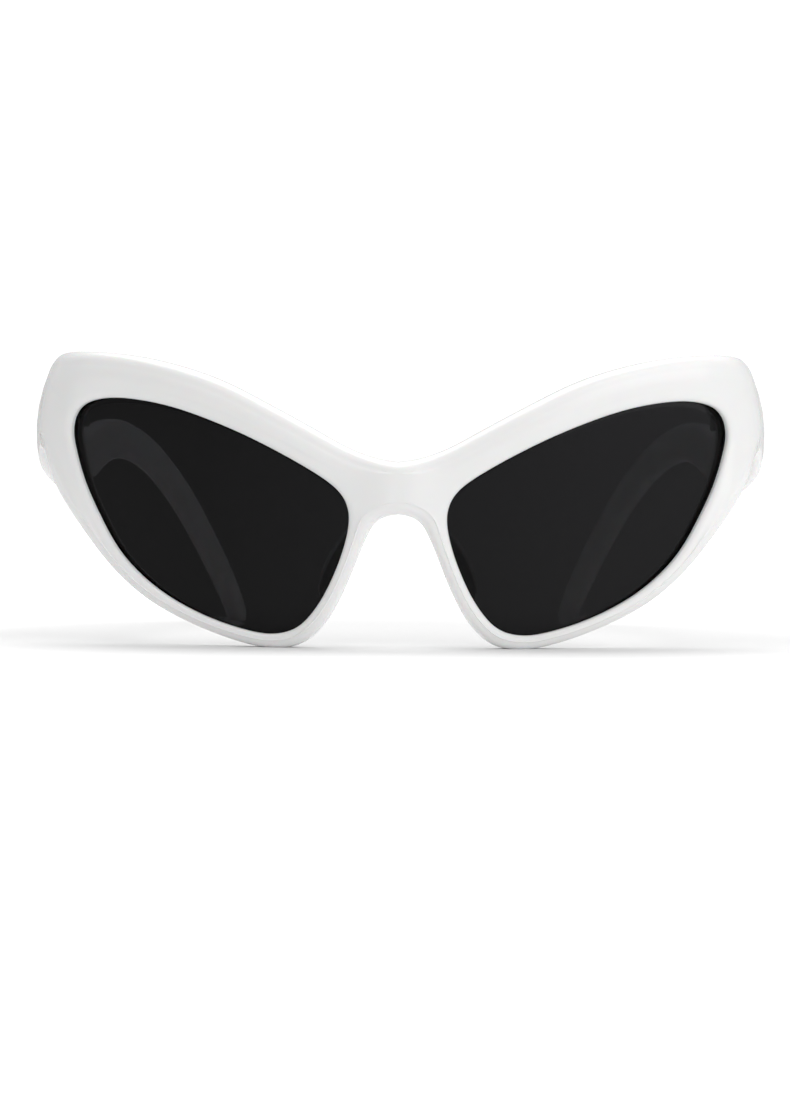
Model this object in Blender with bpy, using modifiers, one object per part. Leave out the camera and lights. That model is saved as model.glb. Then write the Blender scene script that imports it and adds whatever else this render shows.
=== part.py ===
"""Cat eye sunglasses: a wrapped front, two tinted lenses and two folding temples.

The front and the temples share one bent blank. A point of the blank has a length u along the
outer face from the nose, a height z above the table, and a depth w under the outer face.
Lengths are in millimetres and become metres when a mesh is made. X is across, the front
faces -Y, the temples run to +Y, and Z is up. Left is the wearer's left, at +X.
"""
from collections import namedtuple
from math import cos, exp, pi, radians, sin

import bmesh
import bpy
from mathutils import Matrix, Vector

MM = 0.001
CLEARANCE = 0.3          # gap kept between neighbouring pieces
LEFT, RIGHT = 1, -1
SIDES = {LEFT: "left", RIGHT: "right"}

# The blank: (length along the outer face, heading at its end, 0 across and 90 straight back).
BENDS = (
    (67.2, 30.8),        # rims: base curve of 125 mm
    (15.6, 68.5),        # end piece
    (11.5, 92.5),        # shoulder of the temple
    (14.0, 99.5),
    (30.0, 102.0),
    (12.0, 118.5),
    (14.0, 129.0),
    (16.0, 123.0),       # ear bend, turning in behind the head
    (24.0, 98.0),
)
FRONT_Y = -65.07         # bridge front, before its crest, so that Y = 0 is mid-depth
TILT = 0.079             # pantoscopic tilt, depth for each millimetre of height
TILT_HEIGHT = 36.7       # height of the bridge top, where the tilt has no effect
LEAN = 0.012             # the end pieces lean in above LEAN_HEIGHT, by the square of the height
LEAN_HEIGHT = 42.0
LEAN_AT_BACK = 0.35      # share of the lean at the inner face
TUCK = 0.03              # the temples' shoulders tuck in below TUCK_HEIGHT in the same way
TUCK_HEIGHT = 40.0
CREST = 1.7              # ridge down the bridge
CREST_SPREAD = 5.5
THICKNESS = ((0.0, 5.0), (66.0, 5.0), (84.0, 5.3), (110.0, 4.8), (150.0, 4.0), (200.0, 3.6))

# Rim stations: (aperture u, z, outline u, z), clockwise from the top of the bridge.
BROW = (
    (13.9, 32.7, 0.0, 36.7), (18.2, 35.4, 8.0, 38.5), (24.3, 38.7, 17.5, 43.4),
    (31.0, 41.9, 27.0, 48.3), (37.7, 44.6, 36.0, 52.6), (45.5, 47.2, 46.0, 55.8),
    (54.5, 49.0, 57.0, 58.0), (62.0, 49.4, 68.0, 58.9), (67.6, 48.2, 79.0, 59.1),
    (69.7, 46.5, 90.0, 59.0),
)
END = ((70.65, 44.5, 90.0, 51.0), (70.85, 42.3, 90.0, 43.4))
UNDER = (
    (69.9, 38.7, 83.2, 39.7), (67.8, 33.3, 77.4, 32.1), (63.7, 25.8, 70.5, 25.2),
    (58.8, 18.6, 63.9, 18.1), (50.4, 11.5, 53.2, 9.5), (40.6, 6.5, 41.4, 4.1),
    (31.2, 3.5, 31.2, 0.8), (25.3, 2.6, 24.6, -0.25), (20.2, 3.8, 19.3, 0.7),
    (16.2, 7.9, 14.0, 5.6), (12.7, 14.4, 9.9, 13.3), (10.4, 20.9, 6.7, 21.0),
    (9.7, 24.8, 4.1, 25.3), (9.85, 27.2, 0.0, 26.4),
)
NOSE = ((10.75, 29.5, 0.0, 30.0), (12.1, 31.2, 0.0, 33.3))
STEPS = 2                # mesh stations from one rim station to the next

EDGE_FRONT = 2.4         # rounding of the outer edge, front and back
EDGE_BACK = 1.5
EDGE_FADE = (84.5, 92.0)     # the rounding dies out beyond the joint, where the blank is cut off
LIP = 1.9                # width of the roll from the face down to the lens
RIM_CROWN = 0.35
LENS_WELL = 1.0          # depth of the aperture's front edge under the face
GROOVE_FRONT, GROOVE_BACK, GROOVE_DEPTH = 1.5, 4.1, 1.0
LENS_FRONT, LENS_BACK = GROOVE_FRONT + CLEARANCE, GROOVE_BACK - CLEARANCE
LENS_MIDDLE = Vector((38.0, 27.0))

# Temple stations: (centre u, z, height of the section, its lean towards the tip in degrees).
TEMPLE = (
    (80.0, 49.0, 20.4, 0), (84.0, 48.9, 20.2, 0), (88.0, 47.2, 20.2, 8),
    (92.0, 43.8, 18.0, 18), (96.0, 40.2, 14.8, 22), (100.5, 37.4, 12.6, 16),
    (106.0, 36.0, 12.0, 2), (113.0, 36.6, 12.0, -12), (121.0, 39.2, 11.4, -16),
    (130.0, 41.8, 10.2, -11), (140.0, 43.2, 9.2, -2), (148.0, 42.9, 8.4, 12),
    (155.0, 40.8, 7.6, 26), (162.0, 36.4, 6.9, 40), (169.0, 29.8, 6.5, 48),
    (176.0, 21.6, 6.3, 52), (183.0, 12.9, 6.2, 53), (189.3, 5.0, 6.0, 52),
    (191.3, 2.5, 5.9, 52),
)
TEMPLE_EDGE_OUT, TEMPLE_EDGE_IN = 2.3, 1.5

# Boxes that trim the blanks: the table, and what lies behind or ahead of the joint.
JOINT_Y = FRONT_Y + 30.0
BELOW_TABLE = ((-90.0, -90.0, -20.0), (90.0, 90.0, 0.0))
BEHIND_JOINT = ((50.0, JOINT_Y, 20.0), (100.0, JOINT_Y + 40.0, 80.0))
AHEAD_OF_JOINT = ((40.0, JOINT_Y - 40.0, 20.0), (100.0, JOINT_Y + CLEARANCE, 80.0))

HINGE_X, HINGE_Y, HINGE_Z = 67.0, JOINT_Y + CLEARANCE / 2, 48.0
BARREL_RADIUS, BORE_RADIUS, PIN_RADIUS = 1.6, 0.9, 0.6
FRONT_BARRELS = ((43.8, 45.9), (50.1, 52.2))
TEMPLE_BARREL = (46.8, 49.2)
WASHERS = ((46.15, 46.55), (49.45, 49.85))
BARREL_GAP = TEMPLE_BARREL[0] - FRONT_BARRELS[0][1] - 0.02
LEAF_BOTTOM, LEAF_TOP = FRONT_BARRELS[0][0], FRONT_BARRELS[1][1]
# Heading of a leaf in plan, then distances from the axis: its start, its end, its inner face, its screws.
Leaf = namedtuple("Leaf", "heading start end inner screws")
FRONT_LEAF = Leaf(-127.5, 0.05, 7.4, 0.67, 5.0)
TEMPLE_LEAF = Leaf(78.0, 1.0, 8.6, 1.2, 6.2)
LEAF_THICKNESS = 1.0
SCREW_HEIGHTS = (46.0, 50.0)
SCREW_HEAD, SCREW_SHANK, SCREW_HOLE, SCREW_REACH = 1.0, 0.5, 0.8, 2.6

CHANNEL = ((82.0, 41.6), (88.0, 40.6), (94.0, 38.6), (100.0, 36.9), (107.0, 36.2), (114.0, 36.9),
           (122.0, 39.5), (131.0, 42.0), (140.0, 43.2), (148.0, 42.8), (155.0, 40.7), (162.0, 36.3))
CHANNEL_RADIUS, WIRE_RADIUS = 0.95, 0.6

PAD_SIZE = (2.0, 5.6, 8.6)   # half its thickness, half its depth, half its height
PAD_TAPER = 0.22             # slimmer towards the top
PAD_MIDDLE = (11.4, FRONT_Y + 8.2, 16.6)
PAD_LEAN, PAD_TURN = -21.0, -24.0
PAD_SEAT = ((3.0, 6.0), (24.0, 6.0), (24.0, 30.0), (3.0, 30.0))
RIM_BACK = 5.0 + CLEARANCE + 0.05


def clear_scene():
    for old in list(bpy.data.objects):
        bpy.data.objects.remove(old)


def new_collection(name):
    collection = bpy.data.collections.new(name)
    bpy.context.scene.collection.children.link(collection)
    return collection


def material(name, colour, roughness, metallic=0.0):
    made = bpy.data.materials.new(name)
    made.use_nodes = True
    shader = made.node_tree.nodes["Principled BSDF"]
    shader.inputs["Base Color"].default_value = (*colour, 1.0)
    shader.inputs["Roughness"].default_value = roughness
    shader.inputs["Metallic"].default_value = metallic
    return made


def smoothstep(low, high, value):
    t = min(1.0, max(0.0, (value - low) / (high - low)))
    return t * t * (3.0 - 2.0 * t)


def plan(u):
    """Place and heading of the outer face at length u, in plan."""
    x, depth, heading, left = 0.0, 0.0, 0.0, u
    for length, end in BENDS:
        turn = radians(end) - heading
        step = min(left, length)
        after = heading + turn * step / length
        radius = length / turn
        x += radius * (sin(after) - sin(heading))
        depth += radius * (cos(heading) - cos(after))
        heading = after
        left -= step
        if left <= 0.0:
            break
    return x, depth, heading


def thickness(u):
    for (u0, t0), (u1, t1) in zip(THICKNESS, THICKNESS[1:]):
        if u <= u1:
            return t0 + (t1 - t0) * smoothstep(u0, u1, u)
    return THICKNESS[-1][1]


def place(u, z, w):
    """The point of the left half at length u, height z, depth w under the outer face."""
    x, depth, heading = plan(u)
    through = w / thickness(u)
    w -= CREST * exp(-(u / CREST_SPREAD) ** 2) * (1.0 - through)
    tilt = TILT * (TILT_HEIGHT - z) * (1.0 - smoothstep(60.0, 98.0, u))
    rise = max(0.0, z - LEAN_HEIGHT)
    lean = LEAN * rise * rise * smoothstep(62.0, 84.0, u) * (1.0 - smoothstep(88.0, 112.0, u))
    lean *= 1.0 - (1.0 - LEAN_AT_BACK) * through
    fall = max(0.0, TUCK_HEIGHT - z)
    lean += TUCK * fall * fall * smoothstep(78.0, 90.0, u) * (1.0 - smoothstep(106.0, 126.0, u))
    return Vector((x - w * sin(heading) - lean, FRONT_Y + depth + w * cos(heading) + tilt, z))


def spline(points, before, after, steps):
    """Points on a smooth curve from each given point to the next, without the last."""
    chain = [Vector(p) for p in (before, *points, after)]
    spans = [(b - a).length for a, b in zip(chain, chain[1:])]
    slopes = []
    for i in range(1, len(chain) - 1):
        back, ahead = spans[i - 1], spans[i]
        low, high = (chain[i] - chain[i - 1]) / back, (chain[i + 1] - chain[i]) / ahead
        slopes.append((low * ahead + high * back) / (back + ahead))
    curve = []
    for i in range(len(points) - 1):
        a, b, span = chain[i + 1], chain[i + 2], spans[i + 1]
        for k in range(steps):
            t = k / steps
            curve.append(a * (1 + 2 * t) * (1 - t) ** 2 + b * t * t * (3 - 2 * t)
                         + slopes[i] * span * t * (1 - t) ** 2 - slopes[i + 1] * span * t * t * (1 - t))
    return curve


def ahead_of(points):
    """A point one step beyond the end of an open run, in line with it."""
    return 2 * Vector(points[-1]) - Vector(points[-2])


def mirrored_point(point):
    return Vector((-point[0], point[1]))


def left_normals(curve):
    """Unit normals to the left of travel along a closed run of points, stretched at corners."""
    count = len(curve)
    normals = []
    for i in range(count):
        back = (curve[i] - curve[i - 1]).normalized()
        ahead = (curve[(i + 1) % count] - curve[i]).normalized()
        both = (back + ahead).normalized()
        stretch = 1.0 / max(0.7, both.dot(ahead))
        normals.append(Vector((-both.y, both.x)) * stretch)
    return normals


Station = namedtuple("Station", "aperture outline outward inward lip_room edge_room nose")


def room(point, curve):
    """Distance from a point to the nearest point of a curve."""
    return min((point - other).length for other in curve)


def rim_stations(steps):
    """The sections round the rim; nose is the share along the bridge's middle, or None off it."""
    rows = BROW + END + UNDER + NOSE
    aperture = [Vector(row[:2]) for row in rows]
    aperture = spline([*aperture, aperture[0]], aperture[-1], aperture[1], steps)
    brow = [Vector(row[2:]) for row in BROW]
    end = [brow[-1], *(Vector(row[2:]) for row in END)]
    under = [end[-1], *(Vector(row[2:]) for row in UNDER)]
    nose = [under[-1], *(Vector(row[2:]) for row in NOSE), brow[0]]
    outline = spline(brow, mirrored_point(brow[1]), ahead_of(brow), steps)
    outline += spline(end, ahead_of(end[1::-1]), ahead_of(end), steps)
    outline += spline(under, ahead_of(under[1::-1]), mirrored_point(under[-2]), steps)
    first_nose = len(outline)
    outline += spline(nose, ahead_of(nose[1::-1]), ahead_of(nose), steps)
    outward = left_normals(aperture)
    inward = [-n for n in left_normals(outline)]
    inward[0] = Vector((0.0, -1.0))
    inward[first_nose] = Vector((0.0, 1.0))
    stations = []
    for i, (a, o) in enumerate(zip(aperture, outline)):
        share = (i - first_nose) / (len(aperture) - first_nose) if i > first_nose else None
        stations.append(Station(a, o, outward[i], inward[i], room(a, outline), room(o, aperture), share))
    return stations


def middle_point(edge, share):
    """A point on the bridge's middle line, between the rounded edges above and below."""
    top, bottom = BROW[0][3] - edge, UNDER[-1][3] + edge
    return Vector((0.0, bottom + (top - bottom) * share))


def rim_section(station):
    """One section of the rim as (u, z, w): face, outer edge, back, and the grooved lens seat."""
    a, o, m, n, lip_room, edge_room, nose = station
    narrow = min(1.0, 0.4 * lip_room / LIP)
    fade = 1.0 - 0.9 * smoothstep(*EDGE_FADE, o.x)
    edge = min(EDGE_FRONT, 0.5 * edge_room) * fade
    back_edge = min(EDGE_BACK, 0.4 * edge_room) * fade
    deep = thickness(min(o.x, 66.0))
    end_deep = thickness(o.x)
    lip = a + m * LIP * narrow
    shoulder = o + n * edge if nose is None else middle_point(EDGE_FRONT, nose)
    back_shoulder = o + n * back_edge if nose is None else middle_point(EDGE_BACK, nose)
    crown = -RIM_CROWN * min(1.0, lip_room / 8.0)
    ring = [(a, LENS_WELL), (a + m * 0.25 * narrow, 0.55), (a + m * 0.9 * narrow, 0.2), (lip, 0.0)]
    for share in (0.25, 0.5, 0.75):
        ring.append((lip.lerp(shoulder, share), crown * 4 * share * (1 - share)))
    ring.append((shoulder, 0.0))
    for angle in (30, 60, 90):
        reach = edge * (1 - sin(radians(angle)))
        ring.append((o + n * reach, edge * (1 - cos(radians(angle)))))
    ring.append((o, end_deep - back_edge))
    ring.append((o + n * back_edge * 0.29, end_deep - back_edge * 0.29))
    ring.append((back_shoulder, end_deep))
    heel = a + m * 0.7 * narrow
    for share in (0.33, 0.67):
        ring.append((back_shoulder.lerp(heel, share), end_deep + (deep - end_deep) * share))
    ring.append((heel, deep))
    ring.append((a, deep - 0.45))
    ring.append((a, GROOVE_BACK))
    ring.append((a + m * GROOVE_DEPTH, GROOVE_BACK))
    ring.append((a + m * GROOVE_DEPTH, GROOVE_FRONT))
    ring.append((a, GROOVE_FRONT))
    return [(p.x, p.y, w) for p, w in ring]


SHOULDER, BACK_SHOULDER = 7, 13      # beside the nose a section has nothing between these two


def skin_between(bm, here, there, open_rows=()):
    """Faces from one ring of points to the next."""
    for k in range(len(here)):
        n = (k + 1) % len(here)
        if k not in open_rows:
            bm.faces.new((here[k], here[n], there[n], there[k]))


def front_half(steps):
    """The left half of the front, open at the middle plane."""
    stations = rim_stations(steps)
    bm = bmesh.new()
    rings = [[bm.verts.new(place(*point)) for point in rim_section(row)] for row in stations]
    for i in range(len(stations)):
        n = (i + 1) % len(stations)
        beside_nose = stations[i].nose is not None or stations[n].nose is not None
        skin_between(bm, rings[i], rings[n], range(SHOULDER, BACK_SHOULDER) if beside_nose else ())
    loose = [v for v in bm.verts if not v.link_faces]
    bmesh.ops.delete(bm, geom=loose, context="VERTS")
    return bm


def loft(rings):
    """A closed skin over rings of points, each joined to the next."""
    bm = bmesh.new()
    loops = [[bm.verts.new(point) for point in ring] for ring in rings]
    for here, there in zip(loops, loops[1:]):
        skin_between(bm, here, there)
    bm.faces.new(reversed(loops[0]))
    bm.faces.new(loops[-1])
    return bm


def temple_section(u, z, height, lean):
    """A rounded section, flat inside and slightly crowned outside, as (u, z, w)."""
    deep = thickness(u)
    half = height / 2
    outer = min(TEMPLE_EDGE_OUT, 0.48 * deep, half)
    inner = min(TEMPLE_EDGE_IN, 0.4 * deep, half)
    arc = [(half - outer * (1 - sin(a)), outer * (1 - cos(a))) for a in (0, pi / 4, pi / 2)]
    arc += [(half - inner * (1 - sin(a)), deep - inner * (1 - cos(a))) for a in (pi / 2, pi / 4, 0)]
    ring = arc + [(0.0, deep)] + [(-q, w) for q, w in reversed(arc)]
    ring.append((0.0, -0.02 * height))
    across = Vector((sin(radians(lean)), cos(radians(lean))))
    return [place(u + q * across.x, z + q * across.y, w) for q, w in ring]


def temple_blank(steps):
    rows = [Vector(row) for row in TEMPLE]
    stations = spline(rows, ahead_of(rows[1::-1]), ahead_of(rows), steps)
    stations.append(rows[-1])
    rings = [temple_section(*row) for row in stations]
    u, z, height, lean = rows[-1]
    forward = Vector((cos(radians(lean)), -sin(radians(lean))))
    for angle in (30, 58, 80):
        reach = height / 2 * sin(radians(angle))
        taper = height * cos(radians(angle))
        rings.append(temple_section(u + reach * forward.x, z + reach * forward.y, taper, lean))
    return loft(rings)


def lens_blank(steps):
    """A curved lens as rings from its edge to its middle, on both faces."""
    edge = [row.aperture + row.outward * (GROOVE_DEPTH - CLEARANCE) for row in rim_stations(steps)]
    bm = bmesh.new()
    loops = []
    for w, shares in ((LENS_FRONT, (0.3, 0.6, 0.85, 1.0)), (LENS_BACK, (1.0, 0.85, 0.6, 0.3))):
        for share in shares:
            points = [LENS_MIDDLE.lerp(p, share) for p in edge]
            loops.append([bm.verts.new(place(p.x, p.y, w)) for p in points])
    for here, there in zip(loops, loops[1:]):
        skin_between(bm, here, there)
    for loop, w in ((loops[0], LENS_FRONT), (loops[-1], LENS_BACK)):
        hub = bm.verts.new(place(*LENS_MIDDLE, w))
        for k in range(len(loop)):
            bm.faces.new((hub, loop[k], loop[(k + 1) % len(loop)]))
    return bm


def finish(name, bm, side, collection, skin=None):
    """Turn a left-hand mesh in millimetres into an object on the given side."""
    if side == RIGHT:
        bmesh.ops.scale(bm, vec=(-1, 1, 1), verts=bm.verts)
    bmesh.ops.recalc_face_normals(bm, faces=bm.faces)
    bmesh.ops.scale(bm, vec=(MM, MM, MM), verts=bm.verts)
    mesh = bpy.data.meshes.new(name)
    bm.to_mesh(mesh)
    bm.free()
    made = bpy.data.objects.new(name, mesh)
    collection.objects.link(made)
    if skin:
        mesh.materials.append(skin)
        mesh.shade_smooth()
        mesh.set_sharp_from_angle(angle=radians(35))
    else:
        made.hide_render = True
        made.display_type = "WIRE"
    return made


def block(low, high, turn=Matrix()):
    """A box between two corners, then turned and moved."""
    bm = bmesh.new()
    bmesh.ops.create_cube(bm, size=1.0)
    size = Vector(high) - Vector(low)
    bmesh.ops.scale(bm, vec=size, verts=bm.verts)
    bmesh.ops.translate(bm, vec=Vector(low) + size / 2, verts=bm.verts)
    bmesh.ops.transform(bm, matrix=turn, verts=bm.verts)
    return bm


def rod(radius, start, end, turn=Matrix(), segments=16):
    """A cylinder from start to end."""
    bm = bmesh.new()
    start, end = Vector(start), Vector(end)
    line = end - start
    bmesh.ops.create_cone(bm, cap_ends=True, segments=segments, radius1=radius, radius2=radius,
                          depth=line.length)
    upright = line.to_track_quat("Z", "Y").to_matrix().to_4x4()
    bmesh.ops.transform(bm, matrix=turn @ Matrix.Translation((start + end) / 2) @ upright,
                        verts=bm.verts)
    return bm


class Workshop:
    """Makes pieces on one side, and keeps their cutters apart."""

    def __init__(self, side, parts, cutters, skins):
        self.side, self.parts, self.cutters, self.skins = side, parts, cutters, skins

    def piece(self, name, bm, skin):
        return finish(f"{name}_{SIDES[self.side]}", bm, self.side, self.parts, self.skins[skin])

    def change(self, target, bm, operation="DIFFERENCE"):
        number = len(target.modifiers) + 1
        tool = finish(f"{target.name}_tool_{number:02d}", bm, self.side, self.cutters)
        step = target.modifiers.new(operation.title(), "BOOLEAN")
        step.operation = operation
        step.object = tool


def leaf_frame(heading):
    """Local frame of a hinge leaf: x along it, y out to the plastic, z up, from the axis."""
    angle = radians(heading)
    along = Vector((cos(angle), sin(angle), 0.0))
    out = Vector((sin(angle), -cos(angle), 0.0))
    if out.x < 0:
        out.negate()
    turn = Matrix((along, out, Vector((0.0, 0.0, 1.0)))).transposed().to_4x4()
    return Matrix.Translation((HINGE_X, HINGE_Y, 0.0)) @ turn


def hinge_leaf(shop, name, leaf, own_barrels, other_barrels):
    """A plate with its barrels, cleared for the other leaf's barrels, bored and drilled."""
    turn = leaf_frame(leaf.heading)
    outer = leaf.inner + LEAF_THICKNESS
    plate = block((leaf.start, leaf.inner, LEAF_BOTTOM + 0.1), (leaf.end, outer, LEAF_TOP - 0.1), turn)
    made = shop.piece(name, plate, "steel")
    for low, high in own_barrels:
        shop.change(made, rod(BARREL_RADIUS, (0, 0, low), (0, 0, high), turn), "UNION")
        web = block((0.13, 0.3, low + 0.15), (2.6, leaf.inner + 0.5, high - 0.15), turn)
        shop.change(made, web, "UNION")
    reach = BARREL_RADIUS + CLEARANCE
    for low, high in other_barrels:
        gap = block((-reach, -4.0, low - BARREL_GAP), (reach, 6.0, high + BARREL_GAP), turn)
        shop.change(made, gap)
    shop.change(made, rod(BORE_RADIUS, (0, 0, LEAF_BOTTOM - 1), (0, 0, LEAF_TOP + 1), turn))
    for z in SCREW_HEIGHTS:
        shop.change(made, rod(SCREW_HOLE, (leaf.screws, -1, z), (leaf.screws, 5, z), turn, 12))
    return made


def leaf_seat(shop, plastic, leaf):
    """Pocket, barrel room and screw holes for a leaf, cut in the plastic."""
    turn = leaf_frame(leaf.heading)
    low, high = LEAF_BOTTOM - CLEARANCE, LEAF_TOP + CLEARANCE
    outer = leaf.inner + LEAF_THICKNESS
    shop.change(plastic, block((-0.5, -2.5, low), (leaf.end + CLEARANCE, outer + CLEARANCE, high), turn))
    reach = BARREL_RADIUS + CLEARANCE
    shop.change(plastic, rod(reach, (0, 0, low - 0.02), (0, 0, high + 0.02), turn, 20))
    bottom = outer + SCREW_REACH + CLEARANCE
    for z in SCREW_HEIGHTS:
        shop.change(plastic, rod(SCREW_HOLE, (leaf.screws, 0, z), (leaf.screws, bottom, z), turn, 12))


def leaf_screws(shop, name, leaf):
    """The lower and the upper screw of a leaf, slotted."""
    turn = leaf_frame(leaf.heading)
    at, seat = leaf.screws, leaf.inner - 0.15
    made = []
    for letter, z in zip(("lower", "upper"), SCREW_HEIGHTS):
        head = rod(SCREW_HEAD, (at, seat - 0.5, z), (at, seat, z), turn)
        screw = shop.piece(f"{name}_{letter}", head, "steel")
        end = leaf.inner + LEAF_THICKNESS + SCREW_REACH
        shop.change(screw, rod(SCREW_SHANK, (at, seat - 0.15, z), (at, end, z), turn, 10), "UNION")
        shop.change(screw, block((at - 2, seat - 0.85, z - 0.12), (at + 2, seat - 0.27, z + 0.12), turn))
        made.append(screw)
    return made


def hinge_pin(shop):
    """The hinge screw: its head under the lowest barrel, its shank up through all three."""
    turn = leaf_frame(90.0)
    seat = LEAF_BOTTOM - 0.2
    made = shop.piece("hinge_screw", rod(1.15, (0, 0, seat - 0.7), (0, 0, seat), turn), "steel")
    shop.change(made, rod(PIN_RADIUS, (0, 0, seat - 0.3), (0, 0, LEAF_TOP + 0.1), turn, 12), "UNION")
    shop.change(made, block((-2, -0.14, seat - 1.0), (2, 0.14, seat - 0.4), turn))


def hinge_washers(shop):
    turn = leaf_frame(90.0)
    for letter, (low, high) in zip(("lower", "upper"), WASHERS):
        washer = shop.piece(f"hinge_washer_{letter}", rod(1.5, (0, 0, low), (0, 0, high), turn), "nylon")
        shop.change(washer, rod(BORE_RADIUS, (0, 0, low - 1), (0, 0, high + 1), turn, 12))


def tube(path, radius):
    """A round bar along a path of points, with flat ends."""
    curve = bpy.data.curves.new("tube", "CURVE")
    curve.dimensions = "3D"
    curve.bevel_depth = radius
    curve.bevel_resolution = 2
    curve.use_fill_caps = True
    run = curve.splines.new("POLY")
    run.points.add(len(path) - 1)
    for spot, point in zip(run.points, path):
        spot.co = (*point, 1.0)
    holder = bpy.data.objects.new("tube", curve)
    bpy.context.scene.collection.objects.link(holder)
    graph = bpy.context.evaluated_depsgraph_get()
    mesh = bpy.data.meshes.new_from_object(holder.evaluated_get(graph))
    bm = bmesh.new()
    bm.from_mesh(mesh)
    bmesh.ops.remove_doubles(bm, verts=bm.verts, dist=0.001)
    bpy.data.objects.remove(holder)
    bpy.data.curves.remove(curve)
    bpy.data.meshes.remove(mesh)
    return bm


def channel_path(steps):
    rows = [Vector(row) for row in CHANNEL]
    flat = spline(rows, ahead_of(rows[1::-1]), ahead_of(rows), steps) + [rows[-1]]
    return [place(p.x, p.y, thickness(p.x) / 2) for p in flat]


def nose_pad(shop):
    """A teardrop pad, flat where it is bonded behind the nasal side of the rim."""
    bm = bmesh.new()
    bmesh.ops.create_uvsphere(bm, u_segments=20, v_segments=12, radius=1.0)
    for v in bm.verts:
        v.co.x *= 1.0 - PAD_TAPER * v.co.z
        v.co.y *= 1.0 - PAD_TAPER * v.co.z
    bmesh.ops.scale(bm, vec=PAD_SIZE, verts=bm.verts)
    turn = Matrix.Rotation(radians(PAD_LEAN), 4, "Y") @ Matrix.Rotation(radians(PAD_TURN), 4, "Z")
    bmesh.ops.transform(bm, matrix=Matrix.Translation(PAD_MIDDLE) @ turn, verts=bm.verts)
    made = shop.piece("nose_pad", bm, "white")
    shop.change(made, loft([[place(u, z, w) for u, z in PAD_SEAT] for w in (-12.0, RIM_BACK)]))


def axis_empty(side, collection):
    empty = bpy.data.objects.new(f"temple_{SIDES[side]}_axis", None)
    empty.location = (side * HINGE_X * MM, HINGE_Y * MM, HINGE_Z * MM)
    collection.objects.link(empty)
    return empty


def carry(empty, pieces):
    """Parent pieces to a joint axis without moving them."""
    for piece in pieces:
        piece.parent = empty
        piece.matrix_parent_inverse = Matrix.Translation(-empty.location)


def build_front(parts, cutters, skins):
    front = finish("front_frame", front_half(STEPS), LEFT, parts, skins["white"])
    mirror = front.modifiers.new("Mirror", "MIRROR")
    mirror.use_axis = (True, False, False)
    mirror.merge_threshold = 0.00005
    Workshop(LEFT, parts, cutters, skins).change(front, block(*BELOW_TABLE))
    return front


def build_temple(shop):
    """One temple with its leaf, screws and core wire, carried by the joint's axis."""
    temple = shop.piece("temple", temple_blank(STEPS), "white")
    shop.change(temple, block(*AHEAD_OF_JOINT))
    shop.change(temple, block(*BELOW_TABLE))
    leaf_seat(shop, temple, TEMPLE_LEAF)
    path = channel_path(2)
    shop.change(temple, tube(path, CHANNEL_RADIUS))
    leaf = hinge_leaf(shop, "temple_hinge", TEMPLE_LEAF, (TEMPLE_BARREL,), FRONT_BARRELS)
    screws = leaf_screws(shop, "temple_screw", TEMPLE_LEAF)
    wire = shop.piece("core_wire", tube(path[2:-1], WIRE_RADIUS), "steel")
    carry(axis_empty(shop.side, shop.parts), [temple, leaf, wire, *screws])


def build_side(shop, front):
    shop.change(front, block(*BEHIND_JOINT))
    leaf_seat(shop, front, FRONT_LEAF)
    shop.piece("lens", lens_blank(STEPS), "lens")
    nose_pad(shop)
    hinge_leaf(shop, "front_hinge", FRONT_LEAF, FRONT_BARRELS, (TEMPLE_BARREL,))
    leaf_screws(shop, "front_screw", FRONT_LEAF)
    hinge_pin(shop)
    hinge_washers(shop)
    build_temple(shop)


def main():
    clear_scene()
    parts = new_collection("cat_eye_sunglasses")
    cutters = new_collection("cutters")
    skins = {
        "white": material("white_plastic", (0.90, 0.90, 0.90), 0.2),
        "lens": material("tinted_lens", (0.015, 0.015, 0.016), 0.06),
        "steel": material("steel", (0.62, 0.62, 0.63), 0.3, 1.0),
        "nylon": material("nylon", (0.80, 0.80, 0.78), 0.5),
    }
    front = build_front(parts, cutters, skins)
    for side in SIDES:
        build_side(Workshop(side, parts, cutters, skins), front)


main()
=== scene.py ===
"""Cat eye sunglasses in glossy white plastic, standing open on a pale studio floor.

The moulded front and temples are bent from one blank. A point of the blank has a length u along
the outer face from the nose, a height z above the table, and a depth w under the outer face, all
in millimetres. X is across, the front faces -Y, the temples run to +Y. Left is the wearer's left.
"""
from collections import namedtuple
from math import cos, exp, pi, radians, sin

import bmesh
import bpy
from mathutils import Matrix, Vector


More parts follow.
